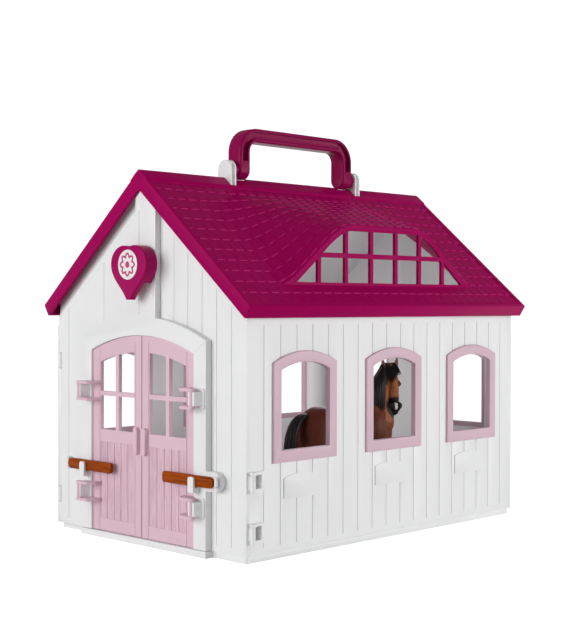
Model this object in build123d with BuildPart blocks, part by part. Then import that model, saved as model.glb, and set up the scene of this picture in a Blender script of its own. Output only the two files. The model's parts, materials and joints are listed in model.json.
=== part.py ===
"""Toy horse clinic playset: a carry-along stable with a double door in a swinging front
panel, a tiled roof with an eyebrow dormer, a folding carry handle and a toy horse inside.
Millimetres. X runs across the door front, +Y runs from the door front to the rear, +Z is
up. The origin is the middle of the base's underside."""

import os
from math import atan, cos

from build123d import *

os.makedirs("parts", exist_ok=True)

# House shell
width = 200.0
length = 290.0
half = width / 2
front_y = -length / 2
rear_y = length / 2
wall = 2.6
base_height = 4.5
wall_top = 169.0
tab_places = (-95, 0, 95)
plank = 14.2
side_planks = 19
groove_width = 0.7
groove_depth = 0.45
groove_low = 9.0
groove_high = 152.5

# Fence sockets on the side walls' front corners: a hole behind an upright bar
socket_lows = (12.6, 45.6)
socket_height = 13.4
socket_bar = (half + 3.6, front_y + 2.4)
socket_hole = (front_y + 4.8, front_y + 11.8)
socket_rim = 2.2

# Roof
ridge_z = 257.4
eave_x = 110.0
eave_z = 164.6
eave_foot = (105.2, 157.0)
slope_rise = (ridge_z - eave_z) / eave_x
slope = atan(slope_rise)
roof_front = front_y - 7.0
roof_rear = rear_y + 4.5
skin = 3.0
ceiling_thick = 1.7
ceiling_x = (4.4, 97.2)
rim_depth = 10.0
rim_wide = 2.4
rim_top_wide = 4.0
field_depth = 0.9
cap_half = 9.0
cap_rise = 0.8
tile_rows = 12
tile_foot = 106.6
tile_plan = 8.4
tile_step = 0.6

# Eyebrow dormer on the right slope: its outline as distance from its middle and height
dormer_mid = -0.5
dormer_reach = 104.0
dormer_x = 92.0
dormer_back_x = 14.0
dormer_plate = 2.2
dormer_sill = 179.2
dormer_inset = 2.4
dormer_frame = 1.6
eyebrow_skin = 2.2
eyebrow_side = [(36, 221.0), (41, 220.2), (46, 218.4), (53, 214.6), (60, 210.0), (76, 197.0), (92, 184.5)]
glazing_bar = 3.4
glazing_posts = (-68.5, -41.0, -14.2, 13.0, 40.0, 67.5)
transom_z = 199.6

# Arched windows in the side walls and the rear gable
window_half = 30.4
window_low = 62.6
window_spring = 127.8
window_crown = 135.2
window_border = 7.2
window_collar = 4.1
window_proud = 1.5
window_centres = (-91.6, 0.0, 91.6)
rear_window_x = 50.0

# Swinging front panel, its arched surround and the ear that carries the right latch
panel_face = front_y - 5.2
panel_planks = front_y - 4.7
panel_back = front_y - 0.4
panel_low = 5.0
panel_axis = (-94.9, front_y - 2.8)
barrel_radius = 2.4
rod_radius = 1.0
hinge_lows = (20.0, 118.0)
hinge_height = 12.0
door_half = 55.0
door_spring = 133.2
door_crown = 144.3
surround_half = 67.0
surround_spring = 142.0
surround_crown = 157.0
tongue_left = -6.0
tongue_right = 15.3
ear_x = 74.4
ear_radius = 6.5

# Door leaves and their clip-on hinges
leaf_front = front_y - 3.8
leaf_back = front_y - 0.9
leaf_low = 5.1
leaf_gap = 0.35
leaf_meeting = 0.45
pane_inner = 8.2
pane_outer = 46.0
pane_low = 76.9
pane_mid = 102.4
pane_bar = 1.6
pin_x = 60.7
pin_y = front_y - 11.9
pin_radius = 1.55
loop_lows = (25.6, 97.2)
loop_height = 13.8
arm = 2.0
clip_gap = 0.3
running = 0.07

# Latches: a bar that lies in a hook, on a bracket that swings at its outer end
latch_z = 50.6
latch_pivot_x = 74.0
latch_tip_x = 27.8
bar_half = 3.65
bar_front = front_y - 9.1
bar_back = front_y - 6.9
bracket_front = front_y - 6.7
bracket_back = front_y - 5.6
bracket_pin_x = 79.6
bracket_barrel = 1.3
bracket_pin = 0.6
bracket_pin_y = front_y - 7.3
hook_x = 58.7
hook_half = 2.7
hook_face = front_y - 11.2

# Heart catch
heart_x = -0.5
heart_z = 191.0
heart_face = front_y - 15.6
heart_step = front_y - 11.0
heart_back = front_y - 5.5
heart_cut = 180.0

# Ridge beam, held by a screw at each end
beam_low = 243.0
beam_height = 6.6
beam_wide = 8.0
screw_z = 246.9
screw_radius = 1.2
screw_head = 2.5
screw_depth = 12.0

# Carry handle between its two lugs
handle_mid = -1.5
handle_span = 61.0
handle_thick = 10.4
handle_bar = 10.2
handle_pivot_z = 264.0
handle_radius = 7.0
handle_top = 295.2
handle_bend = 18.0
handle_edge = 1.8
handle_groove = 5.6
handle_groove_deep = 3.4
handle_groove_low = 270.6
lug_near = 65.0
lug_far = 70.5
handle_pin = 1.9

# Toy horse standing along the room, its head turned to the right-hand windows
horse_x = 30.0


def slope_z(x, depth=0.0):
    """Height of the roof plane at x, a perpendicular depth below its outer face."""
    return ridge_z - slope_rise * abs(x) - depth / cos(slope)


def save(piece, name):
    """Label a finished piece and write it under its own name."""
    piece.label = name
    export_step(piece, f"parts/{name}.step")


def arch(half_width, low, spring, crown, mode=Mode.ADD):
    """Closed outline of an arched opening, centred across the sketch being drawn."""
    with BuildLine() as border:
        Line((-half_width, spring), (-half_width, low))
        Line((-half_width, low), (half_width, low))
        Line((half_width, low), (half_width, spring))
        ThreePointArc((half_width, spring), (0, crown), (-half_width, spring))
    make_face(border.edges(), mode=mode)


def outline(*points):
    """Closed polygon through the given points of the sketch being drawn."""
    with BuildLine() as border:
        Polyline(*points, close=True)
    make_face(border.edges())


def facing_front(y):
    """Drawing plane across the house at y, seen from the front; extrusion goes forwards."""
    return Plane(origin=(0, y, 0), x_dir=(1, 0, 0), z_dir=(0, -1, 0))


def facing_side(x, y=0.0):
    """Drawing plane along the house at x, with extrusion towards +X."""
    return Plane(origin=(x, y, 0), x_dir=(0, 1, 0), z_dir=(1, 0, 0))


# Base tray: the floor everything stands on, ribbed underneath, with a doorstep in front
with BuildPart() as base_tray:
    with BuildSketch():
        RectangleRounded(width - 2.4, length - 2.4, 2)
        with Locations((0, front_y - 1.6)):
            Rectangle(2 * surround_half, 7.6)
    extrude(amount=base_height)
    with BuildSketch():
        with GridLocations(width / 2 - 6, length / 2 - 6, 2, 2):
            RectangleRounded(width / 2 - 16, length / 2 - 18, 3)
    extrude(amount=2.0, mode=Mode.SUBTRACT)
    with BuildSketch(Plane.XY.offset(base_height)):
        with Locations(*[(0, front_y + length * k / 15) for k in range(1, 15)]):
            Rectangle(width - 12, groove_width)
    extrude(amount=-groove_depth, mode=Mode.SUBTRACT)
    with BuildSketch(Plane.XY.offset(base_height)):
        with Locations(*[(side * (half - 2.2), y) for side in (-1, 1) for y in tab_places]):
            Rectangle(1.4, 14.4)
    extrude(amount=-1.9, mode=Mode.SUBTRACT)
save(base_tray.part, "base_tray")


def fence_socket(side, low):
    """A socket on a side wall's front corner: a hole framed by two arms, a post and a bar."""
    bar = (side * socket_bar[0], socket_bar[1])
    near, far = socket_hole
    for arm_low in (low, low + socket_height - socket_rim):
        with BuildSketch(Plane.XY.offset(arm_low)) as arm_profile:
            with Locations((side * (half + 0.8), (bar[1] + far + socket_rim) / 2)):
                Rectangle(2.0, far + socket_rim - bar[1])
            with Locations((side * (half + 1.7), (bar[1] + near) / 2 + 0.6)):
                Rectangle(3.8, near - bar[1] + 1.2)
            with Locations(bar):
                Circle(1.7)
        extrude(arm_profile.sketch, amount=socket_rim)
    with BuildSketch(Plane.XY.offset(low + 1)) as upright_profile:
        with Locations(bar):
            Circle(1.6)
        with Locations((side * (half + 0.8), far + socket_rim / 2)):
            Rectangle(2.0, socket_rim)
    extrude(upright_profile.sketch, amount=socket_height - 2)
    with BuildSketch(facing_side(side * half)) as hole:
        with Locations(((near + far) / 2, low + socket_height / 2)):
            Rectangle(far - near, socket_height - 2 * socket_rim)
    extrude(hole.sketch, amount=2 * wall, both=True, mode=Mode.SUBTRACT)


def side_wall(side):
    """Planked side wall with three window holes, three bare plates, tabs and fence sockets."""
    face = side * half
    inner = side * (half - wall)
    with BuildPart() as piece:
        with BuildSketch(facing_side(min(face, inner))):
            with Locations((0, (base_height + wall_top) / 2)):
                Rectangle(length - 2 * wall, wall_top - base_height)
        extrude(amount=wall)
        for y in window_centres:
            with BuildSketch(facing_side(face, y)):
                arch(
                    window_half - window_collar,
                    window_low + window_collar,
                    window_spring - window_collar / 2,
                    window_crown - window_collar,
                )
            extrude(amount=2 * wall, both=True, mode=Mode.SUBTRACT)
        with BuildSketch(facing_side(face)):
            for k in range(1, side_planks):
                with Locations((front_y + length * k / side_planks, (groove_low + groove_high) / 2)):
                    Rectangle(groove_width, groove_high - groove_low)
        extrude(amount=-side * groove_depth, mode=Mode.SUBTRACT)
        for y in window_centres:
            with BuildSketch(facing_side(face - side, y - 3.5)):
                arch(16.4, 38.6, 52.0, 54.6)
            extrude(amount=side * 1.7)
        with BuildSketch(Plane.XY.offset(base_height)):
            with Locations(*[(side * (half - 2.2), y) for y in tab_places]):
                Rectangle(1.2, 14)
        extrude(amount=-1.7)
        for low in socket_lows:
            fence_socket(side, low)
    return piece.part


save(side_wall(-1), "left_wall")
save(side_wall(1), "right_wall")


def window_frame():
    """Arched window frame facing +X: a flange on the wall and a collar through it."""
    with BuildPart() as piece:
        with BuildSketch(Plane.YZ):
            arch(window_half, window_low, window_spring, window_crown)
        extrude(amount=window_proud)
        chamfer(piece.faces().sort_by(Axis.X)[-1].edges(), 0.35)
        with BuildSketch(Plane.YZ):
            arch(
                window_half - window_collar,
                window_low + window_collar,
                window_spring - window_collar / 2,
                window_crown - window_collar,
            )
        extrude(amount=-wall)
        with BuildSketch(Plane.YZ):
            arch(
                window_half - window_border,
                window_low + window_border + 0.7,
                window_spring - 5.0,
                window_crown - window_border,
            )
        extrude(amount=wall + window_proud, both=True, mode=Mode.SUBTRACT)
    return piece.part


for index, y in enumerate(window_centres, 1):
    save(window_frame().moved(Location((half, y, 0))), f"right_window_frame_{index}")
    save(window_frame().mirror(Plane.YZ).moved(Location((-half, y, 0))), f"left_window_frame_{index}")
for name, x in (("left", -rear_window_x), ("right", rear_window_x)):
    turned = window_frame().rotate(Axis.Z, 90).moved(Location((x, rear_y, 0)))
    save(turned, f"rear_window_frame_{name}")


def gable_outline():
    """Closed outline of an end wall, up to the underside of the roof's skin."""
    outline(
        (-half, base_height),
        (half, base_height),
        (half, slope_z(half, skin)),
        (0, slope_z(0, skin)),
        (-half, slope_z(half, skin)),
    )


# Front gable: the fixed end wall behind the swinging panel, with a wide way in
way_in = (-84.0, 58.0, 7.0, 144.6)
with BuildPart() as front_gable:
    with BuildSketch(facing_front(front_y + wall)):
        gable_outline()
        left, right, low, high = way_in
        with Locations(((left + right) / 2, (low + high) / 2)):
            Rectangle(right - left, high - low, mode=Mode.SUBTRACT)
        with Locations((heart_x, heart_z)):
            Circle(3.9, mode=Mode.SUBTRACT)
        with Locations((0, screw_z)):
            Circle(screw_radius + 0.3, mode=Mode.SUBTRACT)
    extrude(amount=wall)
    with BuildSketch(facing_front(front_y)):
        for k in range(2, 7):
            x = k * plank + 0.8
            high = slope_z(x, rim_depth + 6)
            with Locations((x, (groove_low + high) / 2)):
                Rectangle(groove_width, high - groove_low)
    extrude(amount=-groove_depth, mode=Mode.SUBTRACT)
    for low in hinge_lows:
        with BuildSketch(Plane.XY.offset(low + 0.4)):
            with Locations(panel_axis):
                Circle(barrel_radius)
            with Locations((panel_axis[0], front_y - 1.3)):
                Rectangle(2 * barrel_radius, 3.0)
            with Locations(panel_axis):
                Circle(rod_radius + running, mode=Mode.SUBTRACT)
        extrude(amount=hinge_height - 0.8)
save(front_gable.part, "front_gable")

# Rear gable: the planked end wall with two arched windows
with BuildPart() as rear_gable:
    with BuildSketch(facing_front(rear_y)):
        gable_outline()
        with Locations((0, screw_z)):
            Circle(screw_radius + 0.3, mode=Mode.SUBTRACT)
    extrude(amount=wall)
    for x in (-rear_window_x, rear_window_x):
        with BuildSketch(Plane(origin=(x, rear_y, 0), x_dir=(1, 0, 0), z_dir=(0, -1, 0))):
            arch(
                window_half - window_collar,
                window_low + window_collar,
                window_spring - window_collar / 2,
                window_crown - window_collar,
            )
        extrude(amount=2 * wall, both=True, mode=Mode.SUBTRACT)
    with BuildSketch(facing_front(rear_y)):
        for k in range(-6, 7):
            high = slope_z(k * plank, rim_depth + 6)
            with Locations((k * plank, (groove_low + high) / 2)):
                Rectangle(groove_width, high - groove_low)
    extrude(amount=groove_depth, mode=Mode.SUBTRACT)
save(rear_gable.part, "rear_gable")


def tile_z(x):
    """Height of the recessed tile field at x."""
    return slope_z(x, field_depth)


def eyebrow_outline():
    """Outline points from one end of the eyebrow to the other, both ends on the tile field."""
    rising = eyebrow_side + [(dormer_reach, tile_z(dormer_x) + 0.2)]
    return [(-along, high) for along, high in reversed(rising)] + rising


def bell(inset, low):
    """Closed bell-shaped outline inside the dormer's face, its flat foot at the height low."""
    outline((-dormer_reach, low - inset), *eyebrow_outline(), (dormer_reach, low - inset))
    offset(amount=-inset, kind=Kind.INTERSECTION)


def row_steps(start, end, surface):
    """Profile of the tile rows from start down to end, each a step above the surface."""
    points = [(start, surface(start))]
    for k in range(tile_rows, -1, -1):
        foot = tile_foot - k * tile_plan
        if start + 1 < foot < end - 1:
            points += [(foot, surface(foot) + tile_step), (foot, surface(foot) + 0.05)]
    return points


# Skin of the eyebrow, blending from its outline up to the tile field near the ridge
with BuildPart() as eyebrow_shell:
    back_z = tile_z(dormer_back_x) + 0.1
    for along, high in eyebrow_outline():
        fall = (high - back_z) / (dormer_x - dormer_back_x)
        with BuildSketch(Plane(origin=(0, dormer_mid + along, 0), x_dir=(1, 0, 0), z_dir=(0, -1, 0))):
            outline(
                (dormer_back_x, tile_z(dormer_back_x) - 1),
                *row_steps(dormer_back_x, dormer_x, lambda x: back_z + fall * (x - dormer_back_x)),
                (dormer_x, high),
                (dormer_x, tile_z(dormer_x) - 1),
            )
    loft(ruled=True)

# Hollow under the eyebrow, open to the room below
with BuildPart() as eyebrow_void:
    inner_x = dormer_x - dormer_plate
    back_x = dormer_back_x + 4
    for along, high in eyebrow_outline():
        lean = (tile_z(dormer_back_x) - high) / (dormer_x - dormer_back_x)
        place = dormer_mid + along * (dormer_reach - 3) / dormer_reach
        with BuildSketch(Plane(origin=(0, place, 0), x_dir=(1, 0, 0), z_dir=(0, -1, 0))):
            outline(
                (back_x, slope_z(back_x, skin + 3)),
                (inner_x, slope_z(inner_x, skin + 3)),
                (inner_x, high + lean * dormer_plate - eyebrow_skin),
                (back_x, tile_z(dormer_back_x) - 4 * lean - eyebrow_skin),
            )
    loft(ruled=True)

# Roof shell: two slopes with raised rims, a ridge cap and the eyebrow, hollow underneath
with BuildPart() as roof_shell:
    with BuildSketch(facing_front(roof_rear)):
        foot_x, foot_z = eave_foot
        outline(
            (-eave_x, eave_z),
            (0, ridge_z),
            (eave_x, eave_z),
            (foot_x, foot_z),
            (0, slope_z(0, rim_depth)),
            (-foot_x, foot_z),
        )
    extrude(amount=roof_rear - roof_front)
    for side in (-1, 1):
        with BuildSketch(facing_front(roof_rear - rim_top_wide)):
            outline(
                (side * cap_half, slope_z(cap_half, field_depth)),
                (side * cap_half, slope_z(cap_half) + 5),
                (side * (eave_x - 3), slope_z(eave_x - 3) + 5),
                (side * (eave_x - 3), slope_z(eave_x - 3, field_depth)),
            )
        extrude(amount=roof_rear - roof_front - 2 * rim_top_wide, mode=Mode.SUBTRACT)
        with BuildSketch(facing_front(roof_rear - rim_top_wide)):
            steps = row_steps(cap_half - 1, eave_x - 1, tile_z)
            low = eave_x - 3
            outline(
                (side * (cap_half - 1), tile_z(cap_half - 1) - 0.5),
                *[(side * x, z) for x, z in steps],
                (side * low, tile_z(low)),
                (side * low, tile_z(low) - 0.5),
            )
        extrude(amount=roof_rear - roof_front - 2 * rim_top_wide)
    with BuildSketch(facing_front(roof_rear)):
        outline(
            (-cap_half, slope_z(cap_half, 0.5)),
            (-cap_half + 0.5, slope_z(cap_half - 0.5) + cap_rise),
            (-3, slope_z(3) + cap_rise),
            (0, ridge_z + 0.4),
            (3, slope_z(3) + cap_rise),
            (cap_half - 0.5, slope_z(cap_half - 0.5) + cap_rise),
            (cap_half, slope_z(cap_half, 0.5)),
            (0, slope_z(0, 0.8)),
        )
    extrude(amount=roof_rear - roof_front)
    add(eyebrow_shell.part)
    with BuildSketch(facing_front(roof_rear - rim_wide)):
        outline(
            (0, slope_z(0, skin)),
            (eave_x - 3.2, slope_z(eave_x - 3.2, skin)),
            (foot_x - 2.6, foot_z - 1),
            (foot_x - 2.6, 140),
            (-foot_x + 2.6, 140),
            (-foot_x + 2.6, foot_z - 1),
            (-eave_x + 3.2, slope_z(eave_x - 3.2, skin)),
        )
    extrude(amount=roof_rear - roof_front - 2 * rim_wide, mode=Mode.SUBTRACT)
    add(eyebrow_void.part, mode=Mode.SUBTRACT)
    with BuildSketch(facing_side(dormer_x - dormer_plate - 1, dormer_mid)):
        bell(dormer_inset, dormer_sill)
    extrude(amount=dormer_plate + 6, mode=Mode.SUBTRACT)
    for side in (-1, 1):
        lug_mid = handle_mid + side * (lug_near + lug_far) / 2
        leg_mid = handle_mid + side * (handle_span - handle_thick / 2)
        with BuildSketch(Plane.XY.offset(240)):
            with Locations((0, lug_mid)):
                Rectangle(2 * handle_radius + 0.8, lug_far - lug_near + 0.8)
        extrude(amount=30, mode=Mode.SUBTRACT)
        with BuildSketch(facing_front(leg_mid + handle_thick / 2 + 0.6)):
            with Locations((0, handle_pivot_z)):
                Circle(handle_radius + 0.6)
        extrude(amount=handle_thick + 1.2, mode=Mode.SUBTRACT)
save(roof_shell.part, "roof_shell")


def ceiling(side):
    """White inner board under one slope, from the ridge beam to the side wall."""
    near, far = ceiling_x
    with BuildPart() as piece:
        with BuildSketch(facing_front(rear_y - wall)):
            outline(
                (side * near, slope_z(near, skin)),
                (side * far, slope_z(far, skin)),
                (side * far, slope_z(far, skin + ceiling_thick)),
                (side * near, slope_z(near, skin + ceiling_thick)),
            )
        extrude(amount=length - 2 * wall)
        if side > 0:
            with BuildSketch(Plane.XY.offset(wall_top)):
                with Locations(((dormer_back_x + dormer_x) / 2 + 5, dormer_mid)):
                    Rectangle(dormer_x - dormer_back_x - 8, 2 * dormer_reach - 10)
            extrude(amount=100, mode=Mode.SUBTRACT)
        for lug_side in (-1, 1):
            with BuildSketch(Plane.XY.offset(wall_top)):
                with Locations((0, handle_mid + lug_side * (lug_near + lug_far) / 2)):
                    Rectangle(2 * handle_radius + 0.8, lug_far - lug_near + 0.8)
            extrude(amount=100, mode=Mode.SUBTRACT)
    return piece.part


save(ceiling(-1), "left_ceiling")
save(ceiling(1), "right_ceiling")

# Dormer window: the bell-shaped frame with its posts and transom, set in the eyebrow's face
with BuildPart() as dormer_window:
    with BuildSketch(facing_side(dormer_x - dormer_plate, dormer_mid)):
        bell(dormer_inset, dormer_sill)
    extrude(amount=dormer_plate)
    with BuildSketch(facing_side(dormer_x - dormer_plate, dormer_mid)):
        bell(dormer_inset + dormer_frame, dormer_sill + dormer_frame)
        with Locations(*[(post, dormer_sill + 20) for post in glazing_posts]):
            Rectangle(glazing_bar, 60, mode=Mode.SUBTRACT)
        with Locations((0, transom_z)):
            Rectangle(2 * dormer_reach, glazing_bar, mode=Mode.SUBTRACT)
    extrude(amount=dormer_plate, mode=Mode.SUBTRACT)
save(dormer_window.part, "dormer_window")

# Ridge beam: runs from gable to gable under the ridge and carries the handle's two lugs
with BuildPart() as ridge_beam:
    with BuildSketch(Plane.XY.offset(beam_low)):
        Rectangle(beam_wide, length - 2 * wall)
    extrude(amount=beam_height)
    for side in (-1, 1):
        near = handle_mid + side * lug_near
        far = handle_mid + side * lug_far
        with BuildSketch(facing_front(max(near, far))):
            with Locations((0, (beam_low + handle_pivot_z) / 2)):
                Rectangle(2 * handle_radius - 0.4, handle_pivot_z - beam_low)
            with Locations((0, handle_pivot_z)):
                Circle(handle_radius - 0.2)
        extrude(amount=lug_far - lug_near)
        with BuildSketch(Plane.XY.offset(beam_low + beam_height)):
            with Locations(*[(edge * 6.4, (near + far) / 2) for edge in (-1, 1)]):
                Rectangle(4, 2.6)
        extrude(amount=30, mode=Mode.SUBTRACT)
        with BuildSketch(facing_front(max(near, far - side))):
            with Locations((0, handle_pivot_z)):
                Circle(handle_pin)
        extrude(amount=lug_far - lug_near - 1, mode=Mode.SUBTRACT)
        with BuildSketch(facing_front(side * (rear_y - wall - screw_depth / 2) + screw_depth / 2)):
            with Locations((0, screw_z)):
                Circle(screw_radius)
        extrude(amount=screw_depth, mode=Mode.SUBTRACT)
save(ridge_beam.part, "ridge_beam")

# Carry handle: a U with rounded edges, grooved all along both sides, its round ends hollow
with BuildPart() as carry_handle:
    inner = handle_span - handle_thick
    under = handle_top - handle_bar
    with BuildSketch(facing_side(-handle_radius, handle_mid)):
        with Locations((0, (handle_pivot_z + handle_top) / 2)):
            Rectangle(2 * handle_span, handle_top - handle_pivot_z)
        with Locations((0, (handle_pivot_z + under) / 2)):
            Rectangle(2 * inner, under - handle_pivot_z, mode=Mode.SUBTRACT)
    extrude(amount=2 * handle_radius)
    corners = carry_handle.edges().filter_by(Axis.X)
    fillet(corners.group_by(Axis.Z)[-1], handle_bend)
    inner_corners = carry_handle.edges().filter_by(Axis.X).filter_by(
        lambda e: abs(e.center().Z - under) < 0.1 and abs(e.center().Y - handle_mid) < inner + 0.1
    )
    fillet(inner_corners, handle_bend - handle_thick)
    for side in (-1, 1):
        leg = sorted((handle_mid + side * handle_span, handle_mid + side * inner))
        with BuildSketch(facing_front(leg[1])):
            with Locations((0, handle_pivot_z)):
                Circle(handle_radius)
        extrude(amount=handle_thick)
    rims = carry_handle.edges().filter_by(lambda e: abs(abs(e.center().X) - handle_radius) < 0.01)
    fillet(rims.filter_by(lambda e: e.center().Z > handle_pivot_z + 0.5), handle_edge)
    with BuildSketch(facing_side(handle_radius, handle_mid)):
        middle = handle_span - handle_thick / 2
        crown = handle_top - handle_thick / 2
        with BuildLine():
            FilletPolyline(
                (-middle, handle_groove_low),
                (-middle, crown),
                (middle, crown),
                (middle, handle_groove_low),
                radius=handle_bend - handle_thick / 2,
            )
        trace(line_width=handle_groove)
    extrude(amount=-handle_groove_deep, mode=Mode.SUBTRACT)
    mirror(about=Plane.YZ, mode=Mode.INTERSECT)
    for side in (-1, 1):
        leg_near = handle_mid + side * inner
        knuckle = handle_mid + side * (lug_near - 0.3)
        with BuildSketch(facing_front(max(leg_near, knuckle))):
            with Locations((0, handle_pivot_z)):
                Circle(handle_radius - 1.6)
        extrude(amount=abs(knuckle - leg_near))
        with BuildSketch(facing_front(max(leg_near + side * 2, knuckle))):
            with Locations((0, handle_pivot_z)):
                Circle(handle_pin + running)
        extrude(amount=abs(knuckle - leg_near) - 2, mode=Mode.SUBTRACT)
save(carry_handle.part, "carry_handle")

# Handle pins: two short axles, each from its lug into the handle's round end
pins = []
for side in (-1, 1):
    with BuildPart() as handle_pins:
        near = handle_mid + side * (handle_span - handle_thick + 2.4)
        far = handle_mid + side * (lug_far - 1)
        with BuildSketch(facing_front(max(near, far))):
            with Locations((0, handle_pivot_z)):
                Circle(handle_pin)
        extrude(amount=abs(far - near))
    pins.append(handle_pins.part.solid())
save(Compound(children=pins), "handle_pins")

# Ridge screws: one through each gable into the end of the ridge beam
screws = []
for side in (-1, 1):
    with BuildPart() as ridge_screw:
        with BuildSketch(Plane(origin=(0, side * rear_y, screw_z), x_dir=(1, 0, 0), z_dir=(0, side, 0))):
            Circle(screw_head)
            Rectangle(3.2, 0.7, mode=Mode.SUBTRACT)
            Rectangle(0.7, 3.2, mode=Mode.SUBTRACT)
        extrude(amount=1.4)
        with BuildSketch(Plane(origin=(0, side * rear_y, screw_z), x_dir=(1, 0, 0), z_dir=(0, -side, 0))):
            Circle(screw_radius)
        extrude(amount=wall + screw_depth - 1)
        with BuildSketch(Plane(origin=(0, side * rear_y, screw_z), x_dir=(1, 0, 0), z_dir=(0, side, 0))):
            Circle(screw_head)
        extrude(amount=0.5)
    screws.append(ridge_screw.part.solid())
save(Compound(children=screws), "ridge_screws")


def surround_z(x):
    """Height of the door surround's outer curve at x."""
    rise = surround_crown - surround_spring
    radius = (surround_half**2 + rise**2) / (2 * rise)
    return surround_crown - radius + (radius**2 - x**2) ** 0.5


def hinge_clip(side, low):
    """Clip on the door surround that grips a leaf's upright pin from behind."""
    bottom = low + arm + clip_gap
    height = loop_height - 2 * arm - 2 * clip_gap
    with BuildSketch(Plane.XY.offset(bottom)) as clip_profile:
        outline(
            (side * (pin_x - 3.4), panel_face + 0.2),
            (side * (pin_x + 4.6), panel_face + 0.2),
            (side * (pin_x + 3.2), pin_y - 0.7),
            (side * (pin_x - 2.6), pin_y - 0.7),
        )
        with Locations((side * pin_x, pin_y)):
            Circle(pin_radius + running, mode=Mode.SUBTRACT)
    extrude(clip_profile.sketch, amount=height)
    with BuildSketch(facing_front(panel_face)) as plate:
        with Locations((side * 61.7, low + loop_height / 2)):
            RectangleRounded(9.4, loop_height, 2)
    extrude(plate.sketch, amount=1.1)


# Front panel: planked, with the raised arched surround, the tongue that carries the catch
# and is engraved with the mark its tip turns to, the barrel of the panel's own hinge on
# the left, and the clips of the two leaves
with BuildPart() as front_panel:
    apex = slope_z(0, rim_depth) - 0.6
    with BuildSketch(facing_front(panel_back)):
        outline(
            (panel_axis[0], panel_low),
            (surround_half, panel_low),
            (surround_half, surround_spring),
            (tongue_right, surround_z(tongue_right)),
            (tongue_right, slope_z(tongue_right, rim_depth) - 0.6),
            (0, apex),
            (tongue_left, slope_z(tongue_left, rim_depth) - 0.6),
            (tongue_left, 229.6),
            (panel_axis[0], 156.4),
        )
        arch(surround_half, panel_low, surround_spring, surround_crown)
        arch(door_half, panel_low - 1, door_spring, door_crown, mode=Mode.SUBTRACT)
        with Locations((heart_x, heart_z)):
            Circle(4.2 + running, mode=Mode.SUBTRACT)
    extrude(amount=panel_back - panel_planks)
    with BuildSketch(facing_front(panel_planks)):
        arch(surround_half, panel_low, surround_spring, surround_crown)
        arch(door_half, panel_low - 1, door_spring, door_crown, mode=Mode.SUBTRACT)
    extrude(amount=panel_planks - panel_face)
    with BuildSketch(facing_front(panel_face)):
        with BuildLine():
            Line((door_half + 0.4, door_spring + 0.3), (surround_half - 0.6, surround_spring - 0.4))
        trace(line_width=0.4)
    extrude(amount=-0.3, mode=Mode.SUBTRACT)
    with BuildSketch(facing_front(panel_back)):
        with Locations((ear_x, latch_z)):
            Circle(ear_radius)
        with Locations(((surround_half + ear_x) / 2 - 1, latch_z)):
            Rectangle(ear_x - surround_half + 2, 2 * ear_radius)
    extrude(amount=panel_back - panel_face)
    with BuildSketch(facing_front(panel_back)):
        with Locations((heart_x, heart_z)):
            Circle(7)
    extrude(amount=1.8, mode=Mode.SUBTRACT)
    with BuildSketch(facing_front(panel_planks)):
        for x, low, high in (
            (-82.7, groove_low, 162),
            (-41.1, 154, 195),
            (-2.1, 158.5, 230),
        ):
            with Locations((x, (low + high) / 2)):
                Rectangle(groove_width, high - low)
    extrude(amount=-groove_depth, mode=Mode.SUBTRACT)
    with BuildSketch(facing_front(panel_planks)):
        with BuildLine():
            Polyline((6.1, 175.3), (13.5, 171.9), (13.5, 170.2))
        trace(line_width=0.6)
    extrude(amount=-groove_depth, mode=Mode.SUBTRACT)
    with BuildSketch(Plane.XY.offset(panel_low)):
        with Locations(panel_axis):
            Circle(barrel_radius)
    extrude(amount=150 - panel_low)
    for low in hinge_lows:
        with BuildSketch(Plane.XY.offset(low)):
            with Locations((panel_axis[0] - 0.4, panel_axis[1])):
                Rectangle(7.2, 8)
        extrude(amount=hinge_height, mode=Mode.SUBTRACT)
    with BuildSketch(Plane.XY.offset(panel_low)):
        with Locations(panel_axis):
            Circle(rod_radius)
    extrude(amount=146 - panel_low, mode=Mode.SUBTRACT)
    for side in (-1, 1):
        for low in loop_lows:
            hinge_clip(side, low)
        for low in (46.5, 53.3):
            with BuildSketch(Plane.XY.offset(low)):
                with Locations((side * bracket_pin_x, bracket_pin_y)):
                    Circle(bracket_barrel)
                with Locations((side * bracket_pin_x, (bracket_pin_y + panel_planks) / 2)):
                    Rectangle(2 * bracket_barrel - 0.2, panel_planks - bracket_pin_y + 0.4)
                with Locations((side * bracket_pin_x, bracket_pin_y)):
                    Circle(bracket_pin, mode=Mode.SUBTRACT)
            extrude(amount=1.5)
save(front_panel.part, "front_panel")

# Hinge rod of the front panel, through its barrel and the gable's two lugs
with BuildPart() as panel_hinge_rod:
    with BuildSketch(Plane.XY.offset(panel_low + 0.6)):
        with Locations(panel_axis):
            Circle(rod_radius)
    extrude(amount=145.4 - panel_low)
save(panel_hinge_rod.part, "panel_hinge_rod")


def leaf_loop(side, low):
    """Moulded hinge loop of a leaf: two flat arms joined by the upright pin."""
    for arm_low in (low, low + loop_height - arm):
        with BuildSketch(Plane.XY.offset(arm_low)) as arm_profile:
            outline(
                (side * 45, leaf_front + 0.3),
                (side * 54, leaf_front + 0.3),
                (side * 54, panel_face - 0.7),
                (side * (pin_x + 1.3), pin_y + 1.6),
                (side * pin_x, pin_y - 2.1),
                (side * 50.2, pin_y - 1.5),
                (side * 46, leaf_front - 4.2),
            )
            with Locations((side * pin_x, pin_y)):
                Circle(2.1)
        extrude(arm_profile.sketch, amount=arm)
    with BuildSketch(Plane.XY.offset(low + 0.4)) as pin_profile:
        with Locations((side * pin_x, pin_y)):
            Circle(pin_radius)
    extrude(pin_profile.sketch, amount=loop_height - 0.8)


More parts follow.
